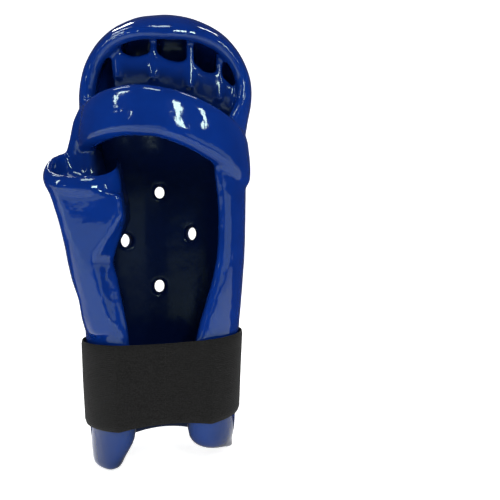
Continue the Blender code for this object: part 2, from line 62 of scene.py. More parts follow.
WALL = 0.012
CAGE_SWELL = 1.045
VENTS = ((-0.008, 0.199), (-0.0355, 0.1585), (0.0195, 0.1645), (-0.008, 0.1205))
BACK_HALF_WIDTH = 0.061
VENT_SQUEEZE = 0.84          # the vents are a little taller than wide
VENT_STRETCH = 1.10
# A vent's waist and flared mouths: distance from the middle of the wall, and radius.
VENT_RINGS = ((-0.016, 0.0110), (-0.0080, 0.0064), (-0.0060, 0.0053), (0.0, 0.0050),
              (0.0045, 0.0053), (0.0066, 0.0066), (0.0082, 0.0090), (0.016, 0.0170))
VENT_SIDES = 28

# Ribs of the shell: height, half width on the thumb side and on the little finger side, depth at
# the widest place, depth of the back, and the angles at which the wall ends on the two sides.
SIDE_STATIONS = (
    (-0.0068, 0.0532, 0.0504, 0.0385, 0.0030, 138, 80),
    (-0.0035, 0.0540, 0.0510, 0.0389, 0.0029, 144, 90),
    (0.0015, 0.0545, 0.0517, 0.0392, 0.0027, 147, 110),
    (0.0080, 0.0552, 0.0525, 0.0396, 0.0025, 152, 148),
    (0.0180, 0.0559, 0.0532, 0.0400, 0.0022, 160, 160),
    (0.030, 0.0565, 0.0537, 0.0405, 0.0020, 161, 160),
    (0.057, 0.0580, 0.0547, 0.0415, 0.0010, 159, 158),
    (0.087, 0.0590, 0.0560, 0.0425, 0.0005, 157, 155),
    (0.103, 0.0600, 0.0572, 0.0428, 0.0000, 154, 149.5),
    (0.120, 0.0615, 0.0588, 0.0430, 0.0000, 150, 143.5),
    (0.140, 0.0630, 0.0600, 0.0430, 0.0000, 147, 138),
    (0.160, 0.0620, 0.0605, 0.0430, 0.0000, 128, 136),
    (0.187, 0.0605, 0.0612, 0.0430, 0.0000, 112, 136),
    (0.212, 0.0600, 0.0605, 0.0430, 0.0000, 108, 142),
    (0.237, 0.0605, 0.0600, 0.0425, 0.0000, 110, 136),
)
ARCH_HEIGHT = 0.0110         # how much higher the bottom edge is at the spine
ARCH_REACH = 78.0            # degrees from the spine at which the arch ends
ARCH_BOTTOM = -0.006
ARCH_TOP = 0.024             # the height above which the ribs are level again
# How far the hood reaches from its centre, from the thumb side over the top.
HOOD_REACH = (0.0640, 0.0655, 0.0675, 0.0672, 0.0660, 0.0688, 0.0705, 0.0698, 0.0665)
HOOD_RIM_SIDE = 112.0        # angle at which the hood's wall ends on its two sides
HOOD_RIM_MORE = 31.0         # how much further round it comes at the top
RIB_STEPS = 5

FOREARM_LOW = 0.010          # the strap follows the forearm part between these heights
FOREARM_HIGH = 0.114
STRAP_LOW = 0.027
STRAP_HIGH = 0.087
STRAP_SLOPE = 0.040
STRAP_WAIST = 0.0045         # how far the strap's lower edge draws in across the palm
STRAP_REST = 0.0010          # how far the strap stands off the coat
STRAP_THICK = 0.0018
STRAP_ROWS = 24
EDGE_THIN = 0.0006           # how much each face draws in at the strap's edges
EDGE_WIDTH = 0.0012
SPAN_BOW = 0.004             # how far the strap bows out across the open palm side
TAPE_THICK = 0.0013
GAP = 0.0003
THREAD_RADIUS = 0.0004
STITCH_PITCH = 0.0034
STITCH_LENGTH = 0.0026
STITCH_MARGIN_LOW = 0.0025   # bare webbing under the lowest stitch and over the highest
STITCH_MARGIN_HIGH = 0.0015
# How a stitch swells and ends: share of its length, share of the thread's radius.
STITCH_SHAPE = ((0.0, 0.35), (0.15, 0.85), (0.5, 1.0), (0.85, 0.85), (1.0, 0.35))
TAPE_LEVEL = STRAP_REST + TAPE_THICK + GAP
TAIL_LEVEL = TAPE_LEVEL + TAPE_THICK + GAP
BAND_END = -2.0
TAPE_END = 32.0
TAIL_TIP = 5.0
HEM_END = -7.0
SIDE_HINGE = 142.0
PALM_HINGE = -150.0
# Degrees at which the strap's lengths meet one another.
FIXED_JOIN = -112.0
SIDE_JOIN = 100.0
TAIL_JOIN = 34.0

CAMERA_TURN = 6.0            # degrees that the guard is turned to face the camera
CAMERA_ASIDE = 0.0645
CAMERA_AWAY = 0.357
CAMERA_HEIGHT = 0.1507
CAMERA_LENS = 33.5
CAMERA_SENSOR = 36.0

# The studio is a pale sheet: a wall in front, the floor, and a sweep up into the backdrop.
STUDIO_HALF_WIDTH = 4.0
STUDIO_HEIGHT = 4.0
STUDIO_FRONT = -4.0
SWEEP_START = 1.9
SWEEP_RADIUS = 0.7
SWEEP_STEPS = 24
FLOOR_DROP = 0.0006          # how far the floor lies under the guard
NEAR_FLOOR = (-0.74, 0.04)   # the stretch of floor that shows in the guard's gloss
PAPER_GLOW = 0.80
FADED_GLOW = 0.05
FADE_FROM = -1.3             # the floor's glow is faded here and full at FADE_TO
FADE_TO = -0.3
ROOM_COLOUR = (0.060, 0.064, 0.074, 1.0)

# Soft lamps: place, target, width, height, power and colour. The cards light the two sides.
WHITE = (1.0, 1.0, 1.0)
CARD_TINT = (0.96, 1.0, 0.70)
LAMPS = (
    ("key", (-0.10, -0.42, 1.35), (0.0, 0.0, 0.17), 0.26, 0.16, 1.8, WHITE),
    ("card_left", (-0.52, -0.62, 0.085), (0.0, 0.0, 0.12), 1.2, 0.17, 0.75, CARD_TINT),
    ("card_right", (0.585, -0.545, 0.20), (0.0, 0.0, 0.18), 0.9, 0.16, 0.55, CARD_TINT),
)

# Small bright lamps: degrees to the side of the camera and above level, width, height, power.
WINDOW_AWAY = 1.2
WINDOW_TARGET = (0.0, 0.0, 0.23)
WINDOWS = (
    ("window_middle", 17.0, 26.0, 0.12, 0.40, 5.4),
    ("window_right", 46.0, 30.0, 0.06, 0.30, 1.9),
    ("window_left", -54.0, 36.0, 0.07, 0.46, 2.6),
    ("window_low", -38.0, 20.0, 0.05, 0.16, 0.7),
    ("window_side", -92.0, 60.0, 0.07, 0.24, 1.2),
    ("window_back", 122.0, 68.0, 0.07, 0.24, 1.2),
    ("window_rear", -138.0, 57.0, 0.06, 0.24, 1.2),
)

VOXEL = 0.0013   # size of the cells in which the coat is fused


# ---------------------------------------------------------------- helpers
def place(x, depth, z):
    """A point given from the middle of the back, its depth towards the palm, and its height."""
    return Vector((x + SPINE_X, BACK_Y - depth, z + LIFT))


def add_object(name, mesh):
    thing = bpy.data.objects.new(name, mesh)
    bpy.context.scene.collection.objects.link(thing)
    return thing


def mesh_from(name, verts, faces):
    mesh = bpy.data.meshes.new(name)
    mesh.from_pydata([tuple(v) for v in verts], [], faces)
    bm = bmesh.new()
    bm.from_mesh(mesh)
    bmesh.ops.recalc_face_normals(bm, faces=bm.faces)
    bm.to_mesh(mesh)
    bm.free()
    return mesh


def applied(thing):
    """Turns an object's modifiers into its mesh."""
    depsgraph = bpy.context.evaluated_depsgraph_get()
    mesh = bpy.data.meshes.new_from_object(thing.evaluated_get(depsgraph))
    thing.modifiers.clear()
    thing.data = mesh
    return thing


def loft(name, rings):
    """A closed solid through rings that have the same number of points."""
    count = len(rings[0])
    verts = [point for ring in rings for point in ring]
    faces = []
    for row in range(len(rings) - 1):
        for side in range(count):
            after = (side + 1) % count
            low = row * count
            high = low + count
            faces.append((low + side, low + after, high + after, high + side))
    faces.append(tuple(range(count)))
    faces.append(tuple(range(len(verts) - count, len(verts))))
    return mesh_from(name, verts, faces)


def rounded(angle, power):
    """A point of a unit circle, drawn out towards its corners as the power falls below 1."""
    cosine = math.cos(angle)
    sine = math.sin(angle)
    return (math.copysign(abs(cosine) ** power, cosine), math.copysign(abs(sine) ** power, sine))


def ease(low, high, value):
    """0 below low, 1 above high, and a smooth step between them."""
    share = min(1.0, max(0.0, (value - low) / (high - low)))
    return share * share * (3.0 - 2.0 * share)


def spread(start, end, steps):
    return [start + (end - start) * step / steps for step in range(steps + 1)]


def round_ring(centre, half_x, half_y, sides=24):
    ring = []
    for side in range(sides):
        angle = 2.0 * math.pi * side / sides
        ring.append(centre + Vector((math.cos(angle) * half_x, math.sin(angle) * half_y, 0.0)))
    return ring


# ---------------------------------------------------------------- camera, lights, floor
def look_at(thing, target):
    away = Vector(thing.location) - Vector(target)
    thing.rotation_euler = away.to_track_quat("Z", "Y").to_euler()


def build_camera():
    data = bpy.data.cameras.new("camera")
    data.lens = CAMERA_LENS
    data.sensor_width = CAMERA_SENSOR
    data.clip_start = 0.01
    data.clip_end = 50.0
    camera = add_object("camera", data)
    turn = math.radians(CAMERA_TURN)
    ahead = Vector((math.sin(turn), math.cos(turn), 0.0))
    aside = Vector((math.cos(turn), -math.sin(turn), 0.0))
    middle = place(0.0, HOOD_DEPTH, CAMERA_HEIGHT)
    camera.location = middle + aside * CAMERA_ASIDE - ahead * CAMERA_AWAY
    look_at(camera, camera.location + ahead)
    bpy.context.scene.camera = camera


def area_light(name, spot, target, width, height, power, colour=WHITE):
    data = bpy.data.lights.new(name, "AREA")
    data.shape = "RECTANGLE"
    data.size = width
    data.size_y = height
    data.energy = power
    data.color = colour
    lamp = add_object(name, data)
    lamp.location = spot
    look_at(lamp, target)


def build_room():
    scene = bpy.context.scene
    scene.view_settings.view_transform = "Standard"
    world = bpy.data.worlds.new("studio")
    scene.world = world
    world.use_nodes = True
    background = world.node_tree.nodes["Background"]
    background.inputs["Color"].default_value = ROOM_COLOUR
    background.inputs["Strength"].default_value = 1.0


def studio_sheet(name, profile, material):
    """A sheet of paper across the studio, from its profile of distances and heights."""
    verts = []
    for y, z in profile:
        verts.append((-STUDIO_HALF_WIDTH, y, z - FLOOR_DROP))
        verts.append((STUDIO_HALF_WIDTH, y, z - FLOOR_DROP))
    faces = [(2 * i, 2 * i + 1, 2 * i + 3, 2 * i + 2) for i in range(len(profile) - 1)]
    sheet = add_object(name, mesh_from(name, verts, faces))
    sheet.data.shade_smooth()
    sheet.data.materials.append(material)
    return sheet


def build_floor():
    """Only the floor near the guard shows in its gloss; the room beyond it reflects as dark."""
    sweep = []
    for step in range(SWEEP_STEPS + 1):
        turn = math.radians(90.0) * step / SWEEP_STEPS
        sweep.append((SWEEP_START + SWEEP_RADIUS * math.sin(turn),
                      SWEEP_RADIUS * (1.0 - math.cos(turn))))
    sweep.append((SWEEP_START + SWEEP_RADIUS, STUDIO_HEIGHT))
    near, far = NEAR_FLOOR
    paper = fading_paper_material()
    studio_sheet("studio_floor", [(near, 0.0), (far, 0.0)], paper)
    wall = [(STUDIO_FRONT, STUDIO_HEIGHT), (STUDIO_FRONT, 0.0)]
    front = studio_sheet("studio_front", wall + [(near, 0.0)], paper_material("bright_paper"))
    front.visible_glossy = False
    front.visible_diffuse = False
    backdrop = studio_sheet("studio_backdrop", [(far, 0.0)] + sweep, paper)
    backdrop.visible_glossy = False


def build_lamps():
    for name, spot, target, width, height, power, colour in LAMPS:
        area_light(name, spot, target, width, height, power, colour)
    for name, aside, above, width, height, power in WINDOWS:
        azimuth = math.radians(aside)
        rise = math.radians(above)
        heading = Vector((math.sin(azimuth) * math.cos(rise), -math.cos(azimuth) * math.cos(rise),
                          math.sin(rise)))
        spot = heading * WINDOW_AWAY + Vector(WINDOW_TARGET)
        area_light(name, spot, WINDOW_TARGET, width, height, power)


# ---------------------------------------------------------------- shell
def wall_point(centre_z, heading, reach, depth_radius, back_depth, angle):
    """A point of a rib, at an angle from the spine round towards the palm side."""
    out = reach * math.sin(angle)
    depth = back_depth + depth_radius * (1.0 - math.cos(angle))
    return place(out * math.cos(heading), depth, centre_z + out * math.sin(heading))


def shell_stations():
    """All ribs in order: up the thumb side, round the hood and down the little finger side."""
    stations = []
    for z, thumb, _, depth, back, rim, _ in SIDE_STATIONS:
        stations.append((z, math.pi, thumb, depth, back, math.radians(rim)))
    for step, reach in enumerate(HOOD_REACH):
        heading = math.pi * (1.0 - step / (len(HOOD_REACH) - 1))
        rim = math.radians(HOOD_RIM_SIDE + HOOD_RIM_MORE * math.sin(heading) ** 2)
        stations.append((HOOD_CENTRE_Z, heading, reach, HOOD_DEPTH, 0.0, rim))
    for z, _, little, depth, back, _, rim in reversed(SIDE_STATIONS):
        stations.append((z, 0.0, little, depth, back, math.radians(rim)))
    return stations


def arch(z, angle):
    """How much the bottom edge is raised, at a number of degrees from the spine."""
    share = max(0.0, 1.0 - (angle / ARCH_REACH) ** 2)
    return ARCH_HEIGHT * share * (1.0 - ease(ARCH_BOTTOM, ARCH_TOP, z))


def shell_body():
    """Ribs from the spine round both sides and over the hood, thickened and smoothed."""
    verts = []
    spine = {}
    ribs = []
    for z, heading, reach, depth, back, rim in shell_stations():
        if z not in spine:
            spine[z] = len(verts)
            verts.append(place(0.0, back, z + arch(z, 0.0)))
        rib = [spine[z]]
        for step in range(1, RIB_STEPS + 1):
            angle = rim * step / RIB_STEPS
            rib.append(len(verts))
            point = wall_point(z, heading, reach * CAGE_SWELL, depth, back, angle)
            if heading in (0.0, math.pi):
                point.z += arch(z, math.degrees(angle))
            verts.append(point)
        ribs.append(rib)
    faces = []
    for rib, following in zip(ribs, ribs[1:]):
        for step in range(RIB_STEPS):
            corners = (rib[step], following[step], following[step + 1], rib[step + 1])
            faces.append(tuple(dict.fromkeys(corners)))
    shell = add_object("shell", mesh_from("shell", verts, faces))
    if shell.data.polygons[0].normal.dot(Vector((-1, 1, 0))) < 0:
        shell.data.flip_normals()
    wall = shell.modifiers.new("wall", "SOLIDIFY")
    wall.thickness = WALL
    wall.offset = -1.0
    wall.use_even_offset = True
    smooth = shell.modifiers.new("smooth", "SUBSURF")
    smooth.levels = 3
    smooth.render_levels = 3
    return applied(shell)


# ---------------------------------------------------------------- bars and dividers
BAR_SIDES = 24

PALM_BAR_END = 98.0          # degrees from the spine to each end of the bar
PALM_BAR_REACH = 0.0570
PALM_BAR_DEPTH = 0.0405
PALM_BAR_CREST_X = -0.020
PALM_BAR_CREST_Z = 0.2465
PALM_BAR_DROOP = 4.4
PALM_BAR_HALF_HEIGHT = 0.0175
PALM_BAR_WIDENING = 0.0045
PALM_BAR_HALF_THICK = 0.0080
PALM_BAR_LEAN = 0.0016
PALM_BAR_CORNERS = 0.62
PALM_BAR_STEPS = 40

FINGER_BAR_START = -0.0385
FINGER_BAR_LENGTH = 0.0965
FINGER_BAR_DEPTH = 0.0555
FINGER_BAR_BEND = 3.5
FINGER_BAR_CREST_X = -0.030
FINGER_BAR_CREST_Z = 0.2790
FINGER_BAR_DROOP = 2.7
FINGER_BAR_HALF_HEIGHT = 0.0148
FINGER_BAR_RAISE = 0.0036
FINGER_BAR_HALF_THICK = 0.0055
FINGER_BAR_LEAN = 0.0030
FINGER_BAR_CORNERS = 0.8
FINGER_BAR_STEPS = 60
FINGER_DIP = 0.0030          # how far the bar's top sinks between two dividers

DIVIDERS = (-0.0340, -0.0080, 0.0185, 0.0405)
DIVIDER_HALF_THICK = 0.0025
DIVIDER_RISE = 0.0645        # how far the hood's cavity reaches up from its centre
DIVIDER_REACH = 0.0675
DIVIDER_DEPTH = 0.0375
DIVIDER_SETBACK = 0.0042
DIVIDER_SINK = 0.002         # how far it runs into the bar below and stays inside the hood above
DIVIDER_LEAST_DEPTH = 0.004
DIVIDER_STEPS = 14


def palm_bar():
    sweep = 360.0 - 2.0 * PALM_BAR_END
    rings = []
    for step in range(PALM_BAR_STEPS + 1):
        angle = math.radians(-PALM_BAR_END - sweep * step / PALM_BAR_STEPS)
        across = math.sin(angle)
        back = math.cos(angle)
        x = PALM_BAR_REACH * across
        z = PALM_BAR_CREST_Z - PALM_BAR_DROOP * (x - PALM_BAR_CREST_X) ** 2
        centre = place(x, PALM_BAR_DEPTH * (1.0 - back), z)
        outward = Vector((across / PALM_BAR_REACH, back / PALM_BAR_DEPTH, 0.0)).normalized()
        half_height = PALM_BAR_HALF_HEIGHT + PALM_BAR_WIDENING * max(0.0, across)
        ring = []
        for side in range(BAR_SIDES):
            thick, up = rounded(2.0 * math.pi * (side + 0.5) / BAR_SIDES, PALM_BAR_CORNERS)
            out = thick * PALM_BAR_HALF_THICK - up * PALM_BAR_LEAN
            ring.append(centre + outward * out + Vector((0, 0, up * half_height)))
        rings.append(ring)
    return add_object("palm_bar", loft("palm_bar", rings))


def finger_bar_centre(x):
    z = FINGER_BAR_CREST_Z - FINGER_BAR_DROOP * (x - FINGER_BAR_CREST_X) ** 2
    return place(x, FINGER_BAR_DEPTH - FINGER_BAR_BEND * x * x, z)


def finger_bar():
    """The bar dips where each finger lies and rises at each divider."""
    rings = []
    for step in range(FINGER_BAR_STEPS + 1):
        x = FINGER_BAR_START + FINGER_BAR_LENGTH * step / FINGER_BAR_STEPS
        centre = finger_bar_centre(x)
        near = min(abs(x - divider) for divider in DIVIDERS)
        dip = FINGER_DIP * ease(0.002, 0.011, near)
        slope = Vector((1.0, 2.0 * FINGER_BAR_BEND * x, 0.0)).normalized()
        outward = Vector((slope.y, -slope.x, 0.0))
        ring = []
        for side in range(BAR_SIDES):
            across, up = rounded(2.0 * math.pi * (side + 0.5) / BAR_SIDES, FINGER_BAR_CORNERS)
            height = up * FINGER_BAR_HALF_HEIGHT + FINGER_BAR_RAISE - dip * (up + 1.0) * 0.5
            out = across * FINGER_BAR_HALF_THICK - FINGER_BAR_LEAN * (1.0 - up)
            ring.append(centre + outward * out + Vector((0, 0, height)))
        rings.append(ring)
    return add_object("finger_bar", loft("finger_bar", rings))


def divider(x, number):
    """A thin web, from the finger bar back and up to the hood's wall."""
    bar = finger_bar_centre(x)
    middle = BACK_Y - HOOD_DEPTH
    sideways = (x / DIVIDER_REACH) ** 2
    low = bar.z - DIVIDER_SINK
    high = HOOD_CENTRE_Z + LIFT - DIVIDER_SINK + DIVIDER_RISE * math.sqrt(1.0 - sideways)
    left = x + SPINE_X - DIVIDER_HALF_THICK
    right = x + SPINE_X + DIVIDER_HALF_THICK
    rings = []
    for z in spread(low, high, DIVIDER_STEPS):
        upward = ((z - LIFT - HOOD_CENTRE_Z) / DIVIDER_RISE) ** 2
        depth = DIVIDER_DEPTH * math.sqrt(max(0.0, 1.0 - upward - sideways))
        near = max(bar.y - DIVIDER_SETBACK, middle - depth)
        far = max(near + DIVIDER_LEAST_DEPTH, middle + depth)
        corners = ((left, near, z), (right, near, z), (right, far, z), (left, far, z))
        rings.append([Vector(corner) for corner in corners])
    name = "web_%d" % number
    return add_object(name, loft(name, rings))


# ---------------------------------------------------------------- thumb sheath
THUMB_SIDES = 40
# Centre height, outer x, front depth, x of the panel's inner edge, x and depth of the facet's far
# edge, depth of the rear and forward lean of the ring. The panel under the thumb runs down the
# wall to the strap. Above it comes a rounded bead and then a dished lip.
THUMB_RINGS = (
    (0.0860, -0.0490, 0.0700, -0.0340, -0.0300, 0.0640, 0.055, 0.0),
    (0.0930, -0.0548, 0.0775, -0.0295, -0.0280, 0.0700, 0.050, 0.0),
    (0.1030, -0.0575, 0.0805, -0.0335, -0.0290, 0.0710, 0.045, 0.0),
    (0.1160, -0.0596, 0.0815, -0.0370, -0.0300, 0.0710, 0.045, 0.0),
    (0.1300, -0.0630, 0.0825, -0.0410, -0.0330, 0.0710, 0.056, 0.0),
    (0.1430, -0.0655, 0.0832, -0.0440, -0.0350, 0.0730, 0.058, 0.0),
    (0.1530, -0.0675, 0.0840, -0.0385, -0.0320, 0.0720, 0.056, 0.0),
    (0.1640, -0.0703, 0.0848, -0.0310, -0.0280, 0.0710, 0.052, 0.0),
    (0.1740, -0.0730, 0.0852, -0.0255, -0.0250, 0.0690, 0.045, 0.0),
    (0.1850, -0.0758, 0.0856, -0.0262, -0.0262, 0.0670, 0.045, 0.08),
    (0.1920, -0.0778, 0.0858, -0.0275, -0.0275, 0.0660, 0.045, 0.20),
)
# The lip: centre height, outer x on both sides, rear and front depth, forward lean of the ring.
LIP_RINGS = (
    (0.1970, -0.0795, -0.0275, 0.0450, 0.0868, 0.36),
    (0.2020, -0.0810, -0.0282, 0.0450, 0.0878, 0.48),
    (0.2065, -0.0818, -0.0290, 0.0450, 0.0876, 0.58),
    (0.2110, -0.0816, -0.0300, 0.0456, 0.0860, 0.66),
    (0.2140, -0.0794, -0.0316, 0.0474, 0.0832, 0.70),
    (0.2122, -0.0768, -0.0333, 0.0488, 0.0810, 0.72),
    (0.2070, -0.0746, -0.0347, 0.0500, 0.0792, 0.72),
    (0.2015, -0.0722, -0.0362, 0.0516, 0.0770, 0.70),
    (0.1985, -0.0665, -0.0400, 0.0548, 0.0736, 0.66),
    (0.1975, -0.0600, -0.0440, 0.0590, 0.0700, 0.62),
)
# The flank joins the thumb to the end of the palm bar: height, left, right, rear and front.
FLANK_RINGS = (
    (0.180, -0.0630, -0.0500, 0.0300, 0.0500),
    (0.195, -0.0690, -0.0500, 0.0310, 0.0520),
    (0.208, -0.0740, -0.0530, 0.0320, 0.0530),
    (0.220, -0.0738, -0.0570, 0.0330, 0.0540),
    (0.232, -0.0702, -0.0560, 0.0330, 0.0560),
    (0.244, -0.0672, -0.0520, 0.0340, 0.0590),
    (0.254, -0.0630, -0.0490, 0.0360, 0.0580),
)
FLANK_SIDES = 24
FLANK_CORNERS = 0.9
LIP_CORNERS = 0.85
LEAN_DEPTH = 0.0640          # the depth about which the leaning rings turn

BORE_START = (-0.026, 0.050, 0.126)
BORE_END = (-0.051, 0.064, 0.182)
BORE_HALF_WIDTH = 0.0121
BORE_HALF_DEPTH = 0.0105
TIP_HOLE = (-0.0425, 0.0585, 0.1980)
# The tip hole widens upwards: shift from its throat, half width, half depth.
TIP_HOLE_RINGS = (
    ((0.0, 0.0, 0.0), 0.0062, 0.0056),
    ((0.002, 0.004, 0.008), 0.0066, 0.0060),
    ((0.004, 0.010, 0.030), 0.0080, 0.0080),
)


def flank():
    rings = []
    for z, left, right, rear, front in FLANK_RINGS:
        ring = []
        for side in range(FLANK_SIDES):
            across, away = rounded(2.0 * math.pi * (side + 0.5) / FLANK_SIDES, FLANK_CORNERS)
            ring.append(place((left + right) / 2 + across * (right - left) / 2,
                              (rear + front) / 2 + away * (front - rear) / 2, z))
        rings.append(ring)
    return add_object("flank", loft("flank", rings))


def panel_outline(outer, front, edge, far_x, far_depth, rear):
    """Even steps round the sheath: outer side, flat panel, facet and the side against the hand."""
    corners = (
        (outer + 0.0060, rear), (outer + 0.0006, rear + 0.010), (outer, (rear + front) / 2),
        (outer + 0.0030, front - 0.0065), (outer + 0.0095, front - 0.0012),
        (edge - 0.0020, front), (edge, front - 0.0016), (far_x, far_depth),
        (far_x + 0.0006, (rear + far_depth) / 2), (far_x - 0.0010, rear),
    )
    share = THUMB_SIDES // len(corners)
    outline = []
    for here, there in zip(corners, corners[1:] + corners[:1]):
        for step in range(share):
            part = step / share
            outline.append((here[0] + (there[0] - here[0]) * part,
                            here[1] + (there[1] - here[1]) * part))
    return outline


def lip_outline(left, right, rear, front):
    """An oval that starts at its outer rear and goes forward, as the panel's outline does."""
    middle_x = (left + right) / 2
    middle_depth = (rear + front) / 2
    outline = []
    for side in range(THUMB_SIDES):
        across, away = rounded(2.0 * math.pi * side / THUMB_SIDES, LIP_CORNERS)
        outline.append((middle_x + across * (right - left) / 2,
                        middle_depth + away * (front - rear) / 2))
    outline.reverse()
    start = min(range(THUMB_SIDES), key=lambda n: outline[n][1] - 0.6 * (outline[n][0] < middle_x))
    return outline[start:] + outline[:start]


def leaning_ring(outline, z, lean):
    return [place(x, depth, z - lean * (depth - LEAN_DEPTH)) for x, depth in outline]


def thumb_sheath():
    rings = []
    for z, outer, front, edge, far_x, far_depth, rear, lean in THUMB_RINGS:
        outline = panel_outline(outer, front, edge, far_x, far_depth, rear)
        rings.append(leaning_ring(outline, z, lean))
    for z, left, right, rear, front, lean in LIP_RINGS:
        rings.append(leaning_ring(lip_outline(left, right, rear, front), z, lean))
    return add_object("sheath", loft("sheath", rings))


def thumb_bore():
    """The pocket for the thumb, which narrows at its top to the small tip hole in the lip."""
    start = place(*BORE_START)
    end = place(*BORE_END)
    hole = place(*TIP_HOLE)
    rings = []
    for share, factor in ((0.0, 1.25), (0.4, 1.1), (0.8, 1.0), (1.0, 0.8)):
        centre = start.lerp(end, share)
        rings.append(round_ring(centre, BORE_HALF_WIDTH * factor, BORE_HALF_DEPTH * factor))
    for shift, half_x, half_y in TIP_HOLE_RINGS:
        rings.append(round_ring(hole + Vector(shift), half_x, half_y))
    return add_object("bore", loft("bore", rings))


def subtract(thing, cutter):
    modifier = thing.modifiers.new("cut", "BOOLEAN")
    modifier.operation = "DIFFERENCE"
    modifier.solver = "EXACT"
    modifier.object = cutter
    applied(thing)
    bpy.data.objects.remove(cutter)


def vent_plug(x, z, number):
    """A waisted cutter, so that the coat flows round into the vent on both faces."""
    rings = []
    for offset, radius in VENT_RINGS:
        ring = []
        for side in range(VENT_SIDES):
            angle = 2.0 * math.pi * side / VENT_SIDES
            ring.append(Vector((math.cos(angle) * radius * VENT_SQUEEZE, offset,
                                math.sin(angle) * radius * VENT_STRETCH)))
        rings.append(ring)
    plug = add_object("plug_%d" % number, loft("plug", rings))
    turn = math.asin(x / BACK_HALF_WIDTH)
    middle = HOOD_DEPTH * (1.0 - math.cos(turn)) + WALL / 2
    slope = math.atan2(math.sin(turn) / BACK_HALF_WIDTH, math.cos(turn) / HOOD_DEPTH)
    plug.data.transform(Matrix.Rotation(-slope, 4, "Z"))
    plug.data.transform(Matrix.Translation(place(x, middle, z)))
    return plug


# ---------------------------------------------------------------- the dipped coat
# Creases on the back, as points of x and height.
THUMB_CREASE = ((-0.0215, 0.205), (-0.030, 0.194), (-0.040, 0.182), (-0.052, 0.171))
WRIST_CREASE = ((0.0565, 0.219), (0.046, 0.211), (0.0385, 0.202), (0.0362, 0.186), (0.0385, 0.168))
CREASE_WIDTH = 0.0042
# Size of the painted shade inside the shell and hood: half width, depth, and rise above the hood's
# centre.
INSIDE_SHADE_HALF_WIDTH = 0.0500
INSIDE_SHADE_DEPTH = 0.0325
INSIDE_SHADE_RISE = 0.0540


def read_vectors(mesh, name):
    values = np.empty(len(mesh.vertices) * 3)
    mesh.vertices.foreach_get(name, values)
    return values.reshape(-1, 3)


def waves(co, seed, scale, count=7):
    """Smooth seeded undulation between about -1 and 1, with bumps of roughly the given size."""
    rng = np.random.default_rng(seed)
    total = np.zeros(len(co))
    for _ in range(count):
        direction = rng.normal(size=3)
        direction /= np.linalg.norm(direction)
        length = scale * rng.uniform(0.7, 1.6)
        total += np.sin(co @ direction * (2.0 * math.pi / length) + rng.uniform(0.0, 6.28))
    return total / math.sqrt(count)


def groove(co, path, width):
    """How near each point is to a line drawn in x and z: 1 on it, 0 beyond the width."""
    best = np.full(len(co), 1.0)
    flat = co[:, (0, 2)]
    for (ax, az), (bx, bz) in zip(path, path[1:]):
        a = np.array((ax + SPINE_X, az))
        b = np.array((bx + SPINE_X, bz))
        along = np.clip(((flat - a) @ (b - a)) / ((b - a) @ (b - a)), 0.0, 1.0)
        distance = np.linalg.norm(flat - (a + along[:, None] * (b - a)), axis=1) / width
        best = np.minimum(best, distance)
    return (1.0 - np.minimum(best, 1.0) ** 2) ** 2


def fused_coat():
    """All the foam's solids, fused by cells of one size and then softened."""
    shell = shell_body()
    for number, (x, z) in enumerate(VENTS):
        subtract(shell, vent_plug(x, z, number))
    sheath = thumb_sheath()
    subtract(sheath, thumb_bore())
    parts = [shell, sheath, palm_bar(), finger_bar(), flank()]
    parts += [divider(x, number) for number, x in enumerate(DIVIDERS)]
    bm = bmesh.new()
    for part in parts:
        bm.from_mesh(part.data)
    merged = bpy.data.meshes.new("coat")
    bm.to_mesh(merged)
    bm.free()
    for part in parts:
        bpy.data.objects.remove(part)
    coat = add_object("dipped_guard_body", merged)
    remesh = coat.modifiers.new("fuse", "REMESH")
    remesh.mode = "VOXEL"
    remesh.voxel_size = VOXEL
    remesh.adaptivity = 0.0
    applied(coat)
    soften = coat.modifiers.new("soften", "SMOOTH")
    soften.factor = 0.5
    soften.iterations = 14
    return applied(coat)


def wear(mesh):
    """Gentle undulations, and the two creases that run across the back of the guard."""
    co = read_vectors(mesh, "co")
    no = read_vectors(mesh, "normal")
    push = 0.00022 * waves(co, 3, 0.045) + 0.00010 * waves(co, 5, 0.019)
    back = np.clip(no[:, 1] * 2.0, 0.0, 1.0) * np.clip((co[:, 1] - (BACK_Y - 0.045)) / 0.01, 0, 1)
    for path, depth in ((THUMB_CREASE, 0.0010), (WRIST_CREASE, 0.0011)):
        push -= back * depth * groove(co, path, CREASE_WIDTH)
    co += no * push[:, None]
    mesh.vertices.foreach_set("co", co.ravel())
    mesh.update()


def paint_inside_shade(mesh):
    """Marks how far each point is inside the shell or hood, for the painted shade that darkens the
    cavity and for its duller gloss.
    """
    co = read_vectors(mesh, "co")
    away = (BACK_Y - co[:, 1] - HOOD_DEPTH) / INSIDE_SHADE_DEPTH
    in_hood = np.clip((co[:, 2] - LIFT - 0.250) / 0.010, 0.0, 1.0)
    away = np.where(away > 0.0, away * (1.0 + 1.1 * in_hood), away)
    across = (co[:, 0] - SPINE_X) / INSIDE_SHADE_HALF_WIDTH
    above = np.maximum(co[:, 2] - LIFT - HOOD_CENTRE_Z, 0.0) / INSIDE_SHADE_RISE
    radius = np.sqrt(away ** 2 + across ** 2 + above ** 2)
    inside = np.clip((1.16 - radius) / 0.14, 0.0, 1.0) * (1.0 - 0.3 * in_hood)
    # The attribute "inside" carries the painted shade of the cavity, a little weaker in the hood.
    mesh.attributes.new("inside", "FLOAT", "POINT").data.foreach_set("value", inside)


def build_coat():
    coat = fused_coat()
    wear(coat.data)
    coat.data.shade_smooth()
    paint_inside_shade(coat.data)
    coat.data.materials.clear()
    coat.data.materials.append(vinyl_material())
    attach(coat, "guard")
    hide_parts("shell_foam", "shell_skin", "palm_bar_foam", "palm_bar_skin",
                "finger_bar_foam", "finger_bar_skin", "finger_divider_1", "finger_divider_2",
                "finger_divider_3", "finger_divider_4", "thumb_foam", "thumb_skin")


# ---------------------------------------------------------------- materials
def new_material(name):
    material = bpy.data.materials.new(name)
    material.use_nodes = True
    tree = material.node_tree
    return material, tree, tree.nodes["Principled BSDF"]


